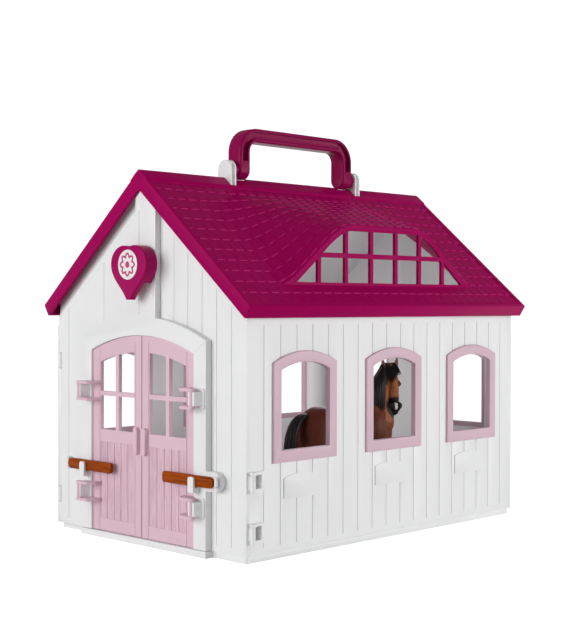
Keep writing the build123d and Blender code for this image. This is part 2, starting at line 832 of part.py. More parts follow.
def door_leaf(side):
    """Door leaf: stiles and rails, four open panes, a planked lower part, pull and loops."""
    across = sorted((side * pane_inner, side * pane_outer))
    middle = sum(across) / 2
    with BuildPart() as piece:
        with BuildSketch(facing_front(leaf_back)):
            arch(door_half - leaf_gap, leaf_low, door_spring - leaf_gap, door_crown - leaf_gap)
            with Locations((-side * (door_half - leaf_meeting), 80)):
                Rectangle(2 * door_half, 200, mode=Mode.SUBTRACT)
        extrude(amount=leaf_back - leaf_front)
        with BuildSketch(facing_front(leaf_back)):
            arch(pane_outer, pane_low, door_spring - 8.4, door_crown - 11.7)
            with Locations((-side * (door_half - pane_inner), 80)):
                Rectangle(2 * door_half, 200, mode=Mode.SUBTRACT)
            with Locations((middle, pane_mid)):
                Rectangle(60, 2 * pane_bar, mode=Mode.SUBTRACT)
            with Locations((middle, pane_mid)):
                Rectangle(2 * pane_bar + 0.4, 80, mode=Mode.SUBTRACT)
        extrude(amount=leaf_back - leaf_front, mode=Mode.SUBTRACT)
        with BuildSketch(facing_front(leaf_front)):
            with Locations((middle, (13.9 + 68.2) / 2)):
                Rectangle(across[1] - across[0], 68.2 - 13.9)
        extrude(amount=-0.4, mode=Mode.SUBTRACT)
        with BuildSketch(facing_front(leaf_front + 0.4)):
            board = (across[1] - across[0]) / 5
            with Locations(*[(across[0] + k * board, 40.8) for k in range(1, 5)]):
                Rectangle(0.6, 56)
        extrude(amount=-0.4, mode=Mode.SUBTRACT)
        with BuildSketch(facing_front(leaf_front)):
            for x, high in ((pane_inner - 0.9, 139.5), (pane_outer + 0.9, 134.0)):
                with Locations((side * x, (leaf_low + high) / 2)):
                    Rectangle(0.5, high - leaf_low)
        extrude(amount=-0.35, mode=Mode.SUBTRACT)
        with BuildSketch(facing_front(leaf_front + 0.2)):
            with Locations((side * 4.4, 71.4)):
                SlotOverall(19.0, 4.2, rotation=90)
        extrude(amount=3.0)
        for low in loop_lows:
            leaf_loop(side, low)
    return piece.part


save(door_leaf(-1), "left_door_leaf")
save(door_leaf(1), "right_door_leaf")


def latch_bracket(side):
    """White bracket behind a latch bar: swing barrel outside, boss hole, hook inside."""
    with BuildPart() as piece:
        with BuildSketch(facing_front(bracket_back)):
            with Locations((side * (hook_x + latch_pivot_x) / 2, latch_z)):
                Rectangle(latch_pivot_x - hook_x + 2 * hook_half, 5.6)
            with Locations((side * latch_pivot_x, latch_z)):
                Circle(3.4)
            with Locations((side * hook_x, latch_z - 2.4)):
                RectangleRounded(2 * hook_half, 11.4, 1.2)
            with Locations((side * latch_pivot_x, latch_z)):
                Circle(1.5 + running, mode=Mode.SUBTRACT)
        extrude(amount=bracket_back - bracket_front)
        with BuildSketch(facing_front(bracket_back)):
            with Locations((side * hook_x, latch_z - 5.95)):
                RectangleRounded(2 * hook_half, 3.9, 1.2)
        extrude(amount=bracket_back - hook_face)
        with BuildSketch(facing_front(bar_front - 0.4)):
            with Locations((side * hook_x, latch_z - 2.65)):
                RectangleRounded(2 * hook_half, 10.5, 1.8)
        extrude(amount=bar_front - 0.4 - hook_face)
        with BuildSketch(Plane.XY.offset(48.3)):
            with Locations((side * bracket_pin_x, bracket_pin_y)):
                Circle(bracket_barrel)
            with Locations((side * (bracket_pin_x + latch_pivot_x + 2.4) / 2, bracket_back - 0.55)):
                Rectangle(bracket_pin_x - latch_pivot_x - 2.4, 1.1)
            with Locations((side * bracket_pin_x, bracket_pin_y)):
                Circle(bracket_pin + running, mode=Mode.SUBTRACT)
        extrude(amount=4.7)
    return piece.part


def latch_bar(side):
    """Wood-look latch bar with a blind stub on its back that turns in the bracket."""
    with BuildPart() as piece:
        with BuildSketch(facing_front(bar_back)):
            with Locations((side * (latch_tip_x + latch_pivot_x) / 2, latch_z)):
                Rectangle(latch_pivot_x - latch_tip_x, 2 * bar_half)
            with Locations((side * latch_pivot_x, latch_z)):
                Circle(bar_half)
        extrude(amount=bar_back - bar_front)
        tip_edges = piece.edges().filter_by(Axis.Y).filter_by(
            lambda e: abs(abs(e.center().X) - latch_tip_x) < 0.1
        )
        fillet(tip_edges, 2.0)
        with BuildSketch(facing_front(bracket_back)):
            with Locations((side * latch_pivot_x, latch_z)):
                Circle(1.5)
        extrude(amount=bracket_back - bar_back)
    return piece.part


def latch_pin(side):
    """Small steel pin that the bracket swings on."""
    with BuildPart() as piece:
        with BuildSketch(Plane.XY.offset(46.5)):
            with Locations((side * bracket_pin_x, bracket_pin_y)):
                Circle(bracket_pin)
        extrude(amount=8.3)
    return piece.part


for name, side in (("left", -1), ("right", 1)):
    save(latch_bracket(side), f"{name}_latch_bracket")
    save(latch_bar(side), f"{name}_latch_bar")
    save(latch_pin(side), f"{name}_latch_pin")


def heart():
    """Heart outline with a shallow notch and a blunt tip, in house coordinates."""
    lobe = [(0, 204.3), (7.8, 205.5), (14.4, 202.6), (18.7, 196.2)]
    lobe += [(18.6, 189.4), (14.2, 182.0), (2.4, 168.6)]
    with BuildLine() as border:
        Spline(*[(heart_x + x, z) for x, z in lobe])
        Line((heart_x + lobe[-1][0], lobe[-1][1]), (heart_x - lobe[-1][0], lobe[-1][1]))
        Spline(*[(heart_x - x, z) for x, z in reversed(lobe)])
    make_face(border.edges())


# Heart catch: the heart-shaped knob with a finger grip behind its tip, on a stepped shaft
with BuildPart() as heart_catch:
    with BuildSketch(facing_front(heart_step)):
        heart()
    extrude(amount=heart_step - heart_face)
    chamfer(heart_catch.faces().sort_by(Axis.Y)[0].edges(), 0.5)
    with BuildSketch(facing_front(heart_back)):
        heart()
        with Locations((heart_x, heart_cut - 20)):
            Rectangle(60, 40, mode=Mode.SUBTRACT)
    extrude(amount=heart_back - heart_step)
    with BuildSketch(facing_front(panel_back - 1.8)):
        with Locations((heart_x, heart_z)):
            Circle(4.2)
    extrude(amount=panel_back - 1.8 - heart_back)
    with BuildSketch(facing_front(front_y + 2.4)):
        with Locations((heart_x, heart_z)):
            Circle(3.0)
    extrude(amount=front_y + 2.4 - panel_back + 1.8)
    chamfer(heart_catch.faces().sort_by(Axis.Y)[-1].edges(), 0.6)
save(heart_catch.part, "heart_catch")

# Retainer ring that holds the catch's shaft in the panel
with BuildPart() as catch_retainer:
    with BuildSketch(facing_front(panel_back - 0.2)):
        with Locations((heart_x, heart_z)):
            Circle(6.5)
            Circle(3.0, mode=Mode.SUBTRACT)
    extrude(amount=1.4)
save(catch_retainer.part, "catch_retainer")

# Badge on the heart's face: a thin round plate
with BuildPart() as heart_badge:
    with BuildSketch(facing_front(heart_face)):
        with Locations((heart_x, 192.5)):
            Circle(10.2)
    extrude(amount=0.5)
save(heart_badge.part, "heart_badge")


def body_rings(rings):
    """Loft through upright oval rings given as (y, z, half width, half height)."""
    sections = []
    for y, z, across, up in rings:
        with BuildSketch(Plane(origin=(horse_x, y, z), x_dir=(1, 0, 0), z_dir=(0, 1, 0))) as ring:
            Ellipse(across, up)
        sections.append(ring.sketch.face())
    loft(sections)


def limb(rings):
    """Loft through level oval rings given as (x, y, z, half width, half length)."""
    sections = []
    for x, y, z, across, along in rings:
        with BuildSketch(Plane(origin=(x, y, z), x_dir=(1, 0, 0), z_dir=(0, 0, 1))) as ring:
            Ellipse(across, along)
        sections.append(ring.sketch.face())
    loft(sections)


# Toy horse: one solid moulded figure standing on the floor
with BuildPart() as toy_horse:
    body_rings(
        [
            (-29, 72, 6, 9),
            (-22, 70, 13, 16),
            (-8, 68, 16, 20),
            (14, 65, 16.5, 18),
            (36, 64, 16.5, 18.5),
            (54, 66, 14, 20),
            (68, 70, 8, 12),
        ]
    )
    limb(
        [
            (horse_x, 55, 70, 11, 15),
            (horse_x, 63, 86, 8.5, 12.5),
            (horse_x + 1, 71, 100, 6.5, 9.5),
            (horse_x + 2, 75, 110, 6, 7.5),
        ]
    )
    poll = Vector(horse_x + 3, 78, 112)
    muzzle = Vector(horse_x + 12, 76, 84)
    for share, across, deep in (
        (-0.12, 5.2, 6.0),
        (0.12, 6.6, 7.8),
        (0.42, 6.0, 7.2),
        (0.75, 4.4, 4.8),
        (1.0, 4.2, 4.2),
    ):
        place = poll + (muzzle - poll) * share
        with BuildSketch(Plane(origin=place, x_dir=(0, 1, 0), z_dir=muzzle - poll)):
            Ellipse(across, deep)
    loft()
    for ear_side in (-1, 1):
        limb(
            [
                (horse_x + 3, 78 + ear_side * 4.4, 109, 2.6, 2.6),
                (horse_x + 3.2, 78 + ear_side * 5.6, 116, 2.2, 2.2),
                (horse_x + 3.4, 78 + ear_side * 6.2, 122, 0.5, 0.5),
            ]
        )
    for x, y in ((-8.5, -19), (8.5, -14), (-8.0, 47), (8.0, 52)):
        limb(
            [
                (horse_x + x, y + 3, 66, 7.5, 11),
                (horse_x + x, y, 48, 5.5, 7.5),
                (horse_x + x, y - 2, 32, 3.4, 4.2),
                (horse_x + x, y - 1, 14, 2.8, 3.2),
                (horse_x + x, y + 1, base_height, 4.6, 5.6),
            ]
        )
    limb(
        [
            (horse_x, -24, 84, 4.2, 5.0),
            (horse_x, -33, 74, 5.0, 5.0),
            (horse_x, -39, 60, 6.0, 5.4),
            (horse_x, -40, 40, 5.4, 4.8),
            (horse_x, -37, 22, 3.0, 3.0),
        ]
    )
save(toy_horse.part, "toy_horse")
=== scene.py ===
import json
from math import cos, pi, radians, sin

import bpy
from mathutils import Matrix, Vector

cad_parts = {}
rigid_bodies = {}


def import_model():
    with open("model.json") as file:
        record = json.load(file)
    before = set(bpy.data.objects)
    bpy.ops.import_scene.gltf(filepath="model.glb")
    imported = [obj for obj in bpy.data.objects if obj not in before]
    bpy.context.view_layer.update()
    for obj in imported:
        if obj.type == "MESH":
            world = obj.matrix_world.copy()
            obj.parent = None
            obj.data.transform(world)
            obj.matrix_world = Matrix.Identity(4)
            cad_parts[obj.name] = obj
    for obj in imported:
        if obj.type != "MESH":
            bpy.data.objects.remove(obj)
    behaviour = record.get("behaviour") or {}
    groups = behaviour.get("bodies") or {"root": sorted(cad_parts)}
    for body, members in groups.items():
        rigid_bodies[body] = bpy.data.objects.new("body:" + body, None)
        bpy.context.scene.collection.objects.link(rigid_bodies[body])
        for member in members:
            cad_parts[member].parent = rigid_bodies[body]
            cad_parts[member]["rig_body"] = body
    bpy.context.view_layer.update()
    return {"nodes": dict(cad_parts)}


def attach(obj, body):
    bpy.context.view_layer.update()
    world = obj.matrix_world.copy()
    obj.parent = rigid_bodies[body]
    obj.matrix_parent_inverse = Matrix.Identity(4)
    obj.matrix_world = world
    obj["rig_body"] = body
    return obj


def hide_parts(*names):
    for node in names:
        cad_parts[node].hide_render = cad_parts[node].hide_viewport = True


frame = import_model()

mm = 0.001


# Base tray: the white moulded floor that the walls stand on, with a doorstep in front.
# It is one injection moulding with a plain satin skin, so its edges are a little rounded
# and its surface has the faint orange peel of the mould.
def pick(*pieces):
    """Leave edit mode with only the given objects selected, the first of them active."""
    if bpy.context.object and bpy.context.object.mode == "EDIT":
        bpy.ops.object.mode_set(mode="OBJECT")
    bpy.ops.object.select_all(action="DESELECT")
    for piece in pieces:
        piece.select_set(True)
    bpy.context.view_layer.objects.active = pieces[0]


def skin_group():
    """Moulded skin: a faint drift of tone and gloss, and the mould's orange peel."""
    group = bpy.data.node_groups.new("moulded_skin", "ShaderNodeTree")
    for name, kind, value in (
        ("Colour", "NodeSocketColor", (0.8, 0.8, 0.8, 1)),
        ("Roughness", "NodeSocketFloat", 0.4),
        ("Drift", "NodeSocketFloat", 0.04),
        ("Peel", "NodeSocketFloat", 0.1),
    ):
        socket = group.interface.new_socket(name, in_out="INPUT", socket_type=kind)
        socket.default_value = value
    for name, kind in (
        ("Colour", "NodeSocketColor"),
        ("Roughness", "NodeSocketFloat"),
        ("Normal", "NodeSocketVector"),
    ):
        group.interface.new_socket(name, in_out="OUTPUT", socket_type=kind)
    nodes, links = group.nodes, group.links
    inside = nodes.new("NodeGroupInput")
    outside = nodes.new("NodeGroupOutput")
    place = nodes.new("ShaderNodeTexCoord")
    cloud = nodes.new("ShaderNodeTexNoise")
    cloud.inputs["Scale"].default_value = 16
    cloud.inputs["Detail"].default_value = 5
    links.new(place.outputs["Object"], cloud.inputs["Vector"])
    spread = nodes.new("ShaderNodeMapRange")
    spread.inputs["From Min"].default_value = 0.3
    spread.inputs["From Max"].default_value = 0.7
    spread.inputs["To Min"].default_value = -1
    links.new(cloud.outputs["Fac"], spread.inputs["Value"])
    tone = nodes.new("ShaderNodeMath")
    tone.operation = "MULTIPLY_ADD"
    tone.inputs[2].default_value = 1
    links.new(spread.outputs["Result"], tone.inputs[0])
    links.new(inside.outputs["Drift"], tone.inputs[1])
    tinted = nodes.new("ShaderNodeVectorMath")
    tinted.operation = "SCALE"
    links.new(inside.outputs["Colour"], tinted.inputs[0])
    links.new(tone.outputs["Value"], tinted.inputs["Scale"])
    links.new(tinted.outputs["Vector"], outside.inputs["Colour"])
    gloss = nodes.new("ShaderNodeMath")
    gloss.operation = "MULTIPLY_ADD"
    gloss.inputs[1].default_value = 0.05
    links.new(spread.outputs["Result"], gloss.inputs[0])
    links.new(inside.outputs["Roughness"], gloss.inputs[2])
    links.new(gloss.outputs["Value"], outside.inputs["Roughness"])
    peel = nodes.new("ShaderNodeTexNoise")
    peel.inputs["Scale"].default_value = 1400
    peel.inputs["Detail"].default_value = 2
    links.new(place.outputs["Object"], peel.inputs["Vector"])
    relief = nodes.new("ShaderNodeBump")
    relief.inputs["Distance"].default_value = 0.00005
    links.new(inside.outputs["Peel"], relief.inputs["Strength"])
    links.new(peel.outputs["Fac"], relief.inputs["Height"])
    links.new(relief.outputs["Normal"], outside.inputs["Normal"])
    return group


moulded_skin = skin_group()


def plastic(name, colour, roughness, drift=0.03, peel=0.5, shine=0.5):
    """Moulded plastic: its colour, gloss and shine, and the shared skin at its own strengths."""
    material = bpy.data.materials.new(name)
    material.use_nodes = True
    nodes, links = material.node_tree.nodes, material.node_tree.links
    shader = nodes["Principled BSDF"]
    skin = nodes.new("ShaderNodeGroup")
    skin.node_tree = moulded_skin
    skin.inputs["Colour"].default_value = (*colour, 1)
    skin.inputs["Roughness"].default_value = roughness
    skin.inputs["Drift"].default_value = drift
    skin.inputs["Peel"].default_value = peel
    links.new(skin.outputs["Colour"], shader.inputs["Base Color"])
    links.new(skin.outputs["Roughness"], shader.inputs["Roughness"])
    links.new(skin.outputs["Normal"], shader.inputs["Normal"])
    shader.inputs["IOR"].default_value = 1.5
    shader.inputs["Specular IOR Level"].default_value = shine
    return material


def dress(piece, material, body, slot, *nodes):
    """Give a piece its material and its body, and hide the nodes it stands for; slot is not used.
    """
    piece.data.materials.clear()
    piece.data.materials.append(material)
    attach(piece, body)
    if nodes:
        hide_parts(*nodes)


def moulded(node, material, slot, edge=0.25 * mm):
    """Copy a CAD node with its doubles merged and its sharp edges rounded by edge."""
    solid = frame["nodes"][node]
    piece = bpy.data.objects.new(f"{node}_moulding", solid.data.copy())
    bpy.context.collection.objects.link(piece)
    pick(piece)
    bpy.ops.object.mode_set(mode="EDIT")
    bpy.ops.mesh.select_all(action="SELECT")
    bpy.ops.mesh.remove_doubles(threshold=0.00001)
    bpy.ops.mesh.dissolve_limited(angle_limit=radians(0.5))
    bpy.ops.object.mode_set(mode="OBJECT")
    rounding = piece.modifiers.new("rounded edges", "BEVEL")
    rounding.width = edge
    rounding.segments = 2
    rounding.limit_method = "ANGLE"
    rounding.angle_limit = radians(38)
    bpy.ops.object.modifier_apply(modifier=rounding.name)
    bpy.ops.object.shade_smooth_by_angle(angle=radians(32))
    dress(piece, material, solid["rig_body"], slot, node)


white_plastic = plastic("white_plastic", (0.855, 0.86, 0.865), 0.42, drift=0.012, peel=0.35)
moulded("base_tray", white_plastic, "white_plastic")


# Side walls: white moulded boards with planks cut in by fine grooves, three bare name
# plates between the windows, and the fence sockets on the front corners. Tabs under
# them sit in the tray.
for side in ("left", "right"):
    moulded(f"{side}_wall", white_plastic, "white_plastic")


# End walls: the fixed front gable with its wide way in and hinge lugs, and the planked
# rear gable with two windows. Both are white mouldings glued between the side walls.
for end in ("front", "rear"):
    moulded(f"{end}_gable", white_plastic, "white_plastic")


# Ceilings: thin white boards under the two slopes, which show through the dormer as the
# room's own roof. They are held between the gables.
for side in ("left", "right"):
    moulded(f"{side}_ceiling", white_plastic, "white_plastic", edge=0.15 * mm)


# Window frames: pale pink mouldings pushed into the window holes from outside, with a
# flat border on the wall and a collar through it.
pale_pink = plastic("pale_pink_plastic", (0.66, 0.455, 0.535), 0.45, drift=0.025, peel=0.4)
for side in ("left", "right"):
    for place in (1, 2, 3):
        moulded(f"{side}_window_frame_{place}", pale_pink, "pink_plastic")
    moulded(f"rear_window_frame_{side}", pale_pink, "pink_plastic")


# Ridge beam: the white moulding under the ridge whose two lugs come up through the roof
# and carry the handle. A screw through each gable holds it.
moulded("ridge_beam", white_plastic, "white_plastic", edge=0.4 * mm)


# Ridge screws, handle pins, latch pins and hinge rod: plain drawn steel, finely mottled
# in tone and with a duller film in places.
def drawn_steel():
    """Steel with a fine mottling of its tone and a slight change of gloss."""
    material = bpy.data.materials.new("drawn_steel")
    material.use_nodes = True
    nodes, links = material.node_tree.nodes, material.node_tree.links
    shader = nodes["Principled BSDF"]
    shader.inputs["Metallic"].default_value = 1
    place = nodes.new("ShaderNodeTexCoord")
    mottle = nodes.new("ShaderNodeTexNoise")
    mottle.inputs["Scale"].default_value = 2600
    mottle.inputs["Detail"].default_value = 3
    links.new(place.outputs["Object"], mottle.inputs["Vector"])
    shade = nodes.new("ShaderNodeValToRGB")
    shade.color_ramp.elements[0].color = (0.38, 0.385, 0.40, 1)
    shade.color_ramp.elements[1].color = (0.58, 0.585, 0.60, 1)
    links.new(mottle.outputs["Fac"], shade.inputs["Fac"])
    links.new(shade.outputs["Color"], shader.inputs["Base Color"])
    gloss = nodes.new("ShaderNodeMapRange")
    gloss.inputs["To Min"].default_value = 0.26
    gloss.inputs["To Max"].default_value = 0.42
    links.new(mottle.outputs["Fac"], gloss.inputs["Value"])
    links.new(gloss.outputs["Result"], shader.inputs["Roughness"])
    return material


steel = drawn_steel()
for node in ("ridge_screws", "handle_pins", "left_latch_pin", "right_latch_pin", "panel_hinge_rod"):
    moulded(node, steel, "steel", edge=0.15 * mm)


# Roof shell: one crimson moulding with raised rims along the gables and eaves, a ridge
# cap, and the bulge of the eyebrow dormer. It snaps over the tops of the walls.
crimson = plastic("roof_crimson_plastic", (0.36, 0, 0.094), 0.42, drift=0.04, shine=0.03)
# A lighter crimson for the tiles' feet: a painted highlight where light catches their lips, not a
# plastic of its own.
lip_highlight_crimson = plastic("tile_lip_painted_highlight", (0.44, 0.003, 0.145), 0.5, drift=0.04, shine=0.1)
moulded("roof_shell", crimson, "roof_crimson", edge=0.4 * mm)


# Roof tiles: rows of small flat tiles in relief, moulded with the shell. Each is thin at
# its top and stands proud at its foot, with clipped lower corners, and every other row
# is set over by half a tile. Over the eyebrow they ride up its curve.
ridge_z = 257.4 * mm
slope_rise = 92.8 / 110
slope_angle = 0.70074
field_depth = 0.9 * mm
field_down = field_depth / cos(slope_angle)
tile_across = 10.0 * mm
tile_gap = 0.35 * mm
tile_clip = 1.7 * mm
tile_thin = 0.15 * mm
tile_rise = 0.75 * mm
tile_overhang = 0.5 * mm
tile_plan = 8.4 * mm
tile_rows = 12
tile_foot = 106.6 * mm
field_front = -147.9 * mm
field_rear = 145.4 * mm
eyebrow_mid = -0.5 * mm
eyebrow_back = 14.0 * mm
eyebrow_face = 92.0 * mm
eyebrow_reach = 104.0 * mm
eyebrow_start = 0.1 * mm
eyebrow_clear = 0.05 * mm
eaves_inset = 6 * mm
eaves_clear = 0.3 * mm
eyebrow_curve = (
    (0, 221.0), (36, 221.0), (41, 220.2), (46, 218.4), (53, 214.6),
    (60, 210.0), (76, 197.0), (92, 184.5), (104, 178.8),
)


def field_z(x):
    """Height of the plain tile field at the distance x from the ridge."""
    return ridge_z - slope_rise * x - field_down


def eyebrow_top(along):
    """Height of the eyebrow's edge at a distance from its middle, rounded between points."""
    along = abs(along) / mm
    points = eyebrow_curve
    for k in range(len(points) - 1):
        (near, high), (far, low) = points[k], points[k + 1]
        if near <= along <= far:
            share = (along - near) / (far - near)
            before = points[k - 1] if k else (-36, 221.0)
            after = points[k + 2] if k + 2 < len(points) else (116, 178.8)
            lean_near = (low - before[1]) / (far - before[0]) * (far - near)
            lean_far = (after[1] - high) / (after[0] - near) * (far - near)
            curved = (
                (2 * share**3 - 3 * share**2 + 1) * high
                + (share**3 - 2 * share**2 + share) * lean_near
                + (-2 * share**3 + 3 * share**2) * low
                + (share**3 - share**2) * lean_far
            )
            return max(curved, high + (low - high) * share) * mm
    return points[-1][1] * mm


def slope_surface(x, y, eyebrow):
    """Height of the surface that a tile lies on."""
    along = abs(y - eyebrow_mid)
    if not eyebrow or x < eyebrow_back or x > eyebrow_face or along > eyebrow_reach:
        return field_z(x)
    share = (x - eyebrow_back) / (eyebrow_face - eyebrow_back)
    lifted = field_z(eyebrow_back) + eyebrow_start
    return max(field_z(x), lifted + (eyebrow_top(along) - lifted) * share + eyebrow_clear)


def one_tile():
    """A tile at the origin, sloping up to its foot, which hangs over the shell's own step."""
    bpy.ops.object.select_all(action="DESELECT")
    bpy.ops.mesh.primitive_plane_add(size=1)
    piece = bpy.context.object
    piece.scale = (tile_plan, tile_across - tile_gap, 1)
    bpy.ops.object.transform_apply(location=False, rotation=False, scale=True)
    bpy.ops.object.mode_set(mode="EDIT")
    bpy.ops.mesh.select_all(action="DESELECT")
    bpy.ops.object.mode_set(mode="OBJECT")
    for point in piece.data.vertices:
        point.select = point.co.x > 0
    bpy.ops.object.mode_set(mode="EDIT")
    bpy.ops.mesh.bevel(offset=tile_clip, offset_pct=0, affect="VERTICES")
    bpy.ops.mesh.select_all(action="SELECT")
    bpy.ops.mesh.extrude_region_move(TRANSFORM_OT_translate={"value": (0, 0, tile_thin)})
    bpy.ops.object.mode_set(mode="OBJECT")
    for point in piece.data.vertices:
        if point.co.z > 0.1 * mm:
            point.co.z += tile_rise * (point.co.x / tile_plan + 0.5)
        if point.co.x > 0:
            point.co.x += tile_overhang
    bpy.ops.object.mode_set(mode="EDIT")
    bpy.ops.mesh.normals_make_consistent(inside=False)
    bpy.ops.object.mode_set(mode="OBJECT")
    rounding = piece.modifiers.new("rounded edges", "BEVEL")
    rounding.width = 0.25 * mm
    rounding.segments = 1
    rounding.limit_method = "ANGLE"
    rounding.angle_limit = radians(40)
    bpy.ops.object.modifier_apply(modifier=rounding.name)
    bpy.ops.object.mode_set(mode="EDIT")
    bpy.ops.mesh.select_all(action="DESELECT")
    bpy.ops.object.mode_set(mode="OBJECT")
    for face in piece.data.polygons:
        face.select = face.normal.z < -0.9
    bpy.ops.object.mode_set(mode="EDIT")
    bpy.ops.mesh.delete(type="FACE")
    bpy.ops.object.mode_set(mode="OBJECT")
    return piece


def tiled(name, side, first_row, rows, eyebrow):
    """Some of a slope's rows, counted from the eaves, arrayed and laid on its surface."""
    piece = one_tile()
    piece.name = name
    across = int((field_rear - field_front) / tile_across) + 1
    top_row = first_row + rows - 1
    shift = tile_across / 2 * (top_row % 2)
    start_x = tile_foot - (top_row + 0.5) * tile_plan
    start = Vector((start_x, field_front + tile_across / 2 - shift, 0))
    for point in piece.data.vertices:
        point.co += start
    pick(piece)
    bpy.ops.object.mode_set(mode="EDIT")
    bpy.ops.mesh.select_all(action="SELECT")
    aside = 2 * shift - tile_across / 2
    bpy.ops.mesh.duplicate_move(TRANSFORM_OT_translate={"value": (tile_plan, aside, 0)})
    bpy.ops.object.mode_set(mode="OBJECT")
    for label, count, step in (
        ("across", across, (0, tile_across, 0)),
        ("down", rows // 2, (2 * tile_plan, 0, 0)),
    ):
        run = piece.modifiers.new(label, "ARRAY")
        run.count = count
        run.use_relative_offset = False
        run.use_constant_offset = True
        run.constant_offset_displace = step
        bpy.ops.object.modifier_apply(modifier=run.name)
    bpy.ops.object.mode_set(mode="EDIT")
    for edge, before in ((field_front, True), (field_rear, False)):
        bpy.ops.mesh.select_all(action="SELECT")
        bpy.ops.mesh.bisect(
            plane_co=(0, edge, 0), plane_no=(0, 1, 0), clear_inner=before, clear_outer=not before
        )
    bpy.ops.object.mode_set(mode="OBJECT")
    for point in piece.data.vertices:
        x, y, z = point.co
        if side > 0 and not eyebrow and abs(y - eyebrow_mid) < eyebrow_reach - eaves_inset:
            x = max(x, eyebrow_face + eaves_clear)
        point.co = (side * x, y, slope_surface(x, y, eyebrow) + z)
    if side < 0:
        bpy.ops.object.mode_set(mode="EDIT")
        bpy.ops.mesh.select_all(action="SELECT")
        bpy.ops.mesh.flip_normals()
        bpy.ops.object.mode_set(mode="OBJECT")
    bpy.ops.object.shade_smooth_by_angle(angle=radians(20))
    dress(piece, crimson, "house", "roof_crimson")
    # The faces at the tiles' feet take the lighter crimson, a painted highlight on the lips.
    piece.data.materials.append(lip_highlight_crimson)
    for face in piece.data.polygons:
        face.material_index = int(face.normal.z < 0.2 and abs(face.normal.y) < 0.6)


tiled("left_roof_tiles", -1, 0, tile_rows, False)
tiled("right_roof_tiles", 1, 2, tile_rows - 2, True)
tiled("right_eaves_tiles", 1, 0, 2, False)


# Dormer window: the crimson lattice of posts and a transom in the eyebrow's face, with
# open panes. It is pushed in from the front of the bulge.
moulded("dormer_window", crimson, "roof_crimson")


# Carry handle: a deeper crimson U with rounded edges and a groove along both sides. Its
# round ends turn on two pins in the lugs.
handle_crimson = plastic("handle_crimson_plastic", (0.27, 0, 0.07), 0.33, drift=0.04, shine=0.08)
moulded("carry_handle", handle_crimson, "roof_crimson", edge=0.2 * mm)


# Front panel: the white planked door front on its hinge barrel, with the raised arched
# surround, the clips for the leaves and the ear of the right latch.
moulded("front_panel", white_plastic, "white_plastic")


# Door leaves: pale pink mouldings with four open panes and a lower half of five boards,
# whose wood grain is moulded in and catches a darker tone.
def board_grain():
    """Grain of the boards: long fine streaks along Z, kept to the boards' own field."""
    group = bpy.data.node_groups.new("board_grain", "ShaderNodeTree")
    for name in ("Low", "High"):
        group.interface.new_socket(name, in_out="INPUT", socket_type="NodeSocketFloat")
    group.interface.new_socket("Streak", in_out="OUTPUT", socket_type="NodeSocketFloat")
    nodes, links = group.nodes, group.links
    inside = nodes.new("NodeGroupInput")
    outside = nodes.new("NodeGroupOutput")
    place = nodes.new("ShaderNodeTexCoord")
    stretch = nodes.new("ShaderNodeMapping")
    stretch.inputs["Scale"].default_value = (1700, 300, 70)
    links.new(place.outputs["Object"], stretch.inputs["Vector"])
    streak = nodes.new("ShaderNodeTexNoise")
    streak.inputs["Scale"].default_value = 1
    streak.inputs["Detail"].default_value = 4
    streak.inputs["Distortion"].default_value = 0.6
    links.new(stretch.outputs["Vector"], streak.inputs["Vector"])
    sharp = nodes.new("ShaderNodeMapRange")
    sharp.inputs["From Min"].default_value = 0.5
    sharp.inputs["From Max"].default_value = 0.62
    links.new(streak.outputs["Fac"], sharp.inputs["Value"])
    parts = nodes.new("ShaderNodeSeparateXYZ")
    links.new(place.outputs["Object"], parts.inputs["Vector"])
    above = nodes.new("ShaderNodeMath")
    above.operation = "GREATER_THAN"
    links.new(parts.outputs["Z"], above.inputs[0])
    links.new(inside.outputs["Low"], above.inputs[1])
    below = nodes.new("ShaderNodeMath")
    below.operation = "LESS_THAN"
    links.new(parts.outputs["Z"], below.inputs[0])
    links.new(inside.outputs["High"], below.inputs[1])
    field = nodes.new("ShaderNodeMath")
    field.operation = "MULTIPLY"
    links.new(above.outputs["Value"], field.inputs[0])
    links.new(below.outputs["Value"], field.inputs[1])
    outer = nodes.new("ShaderNodeMath")
    outer.operation = "ABSOLUTE"
    links.new(parts.outputs["X"], outer.inputs[0])
    within = nodes.new("ShaderNodeMath")
    within.operation = "COMPARE"
    within.inputs[1].default_value = 0.0271
    within.inputs[2].default_value = 0.0189
    links.new(outer.outputs["Value"], within.inputs[0])
    kept = nodes.new("ShaderNodeMath")
    kept.operation = "MULTIPLY"
    links.new(field.outputs["Value"], kept.inputs[0])
    links.new(within.outputs["Value"], kept.inputs[1])
    masked = nodes.new("ShaderNodeMath")
    masked.operation = "MULTIPLY"
    links.new(kept.outputs["Value"], masked.inputs[0])
    links.new(sharp.outputs["Result"], masked.inputs[1])
    links.new(masked.outputs["Value"], outside.inputs["Streak"])
    return group


leaf_pink = plastic(
    "leaf_pink_plastic", (0.75, 0.525, 0.61), 0.46, drift=0.03, peel=0.4, shine=0.3
)
nodes, links = leaf_pink.node_tree.nodes, leaf_pink.node_tree.links
shader = nodes["Principled BSDF"]
skin = next(node for node in nodes if node.type == "GROUP")
grain = nodes.new("ShaderNodeGroup")
grain.node_tree = board_grain()
grain.inputs["Low"].default_value = 0.0139
grain.inputs["High"].default_value = 0.0682
shaded = nodes.new("ShaderNodeMix")
shaded.data_type = "RGBA"
shaded.blend_type = "MULTIPLY"
shaded.inputs["B"].default_value = (0.88, 0.79, 0.84, 1)
links.new(grain.outputs["Streak"], shaded.inputs["Factor"])
links.new(skin.outputs["Colour"], shaded.inputs["A"])
links.new(shaded.outputs["Result"], shader.inputs["Base Color"])
cut = nodes.new("ShaderNodeBump")
cut.inputs["Strength"].default_value = 0.4
cut.inputs["Distance"].default_value = 0.0003
cut.invert = True
links.new(grain.outputs["Streak"], cut.inputs["Height"])
links.new(skin.outputs["Normal"], cut.inputs["Normal"])
links.new(cut.outputs["Normal"], shader.inputs["Normal"])
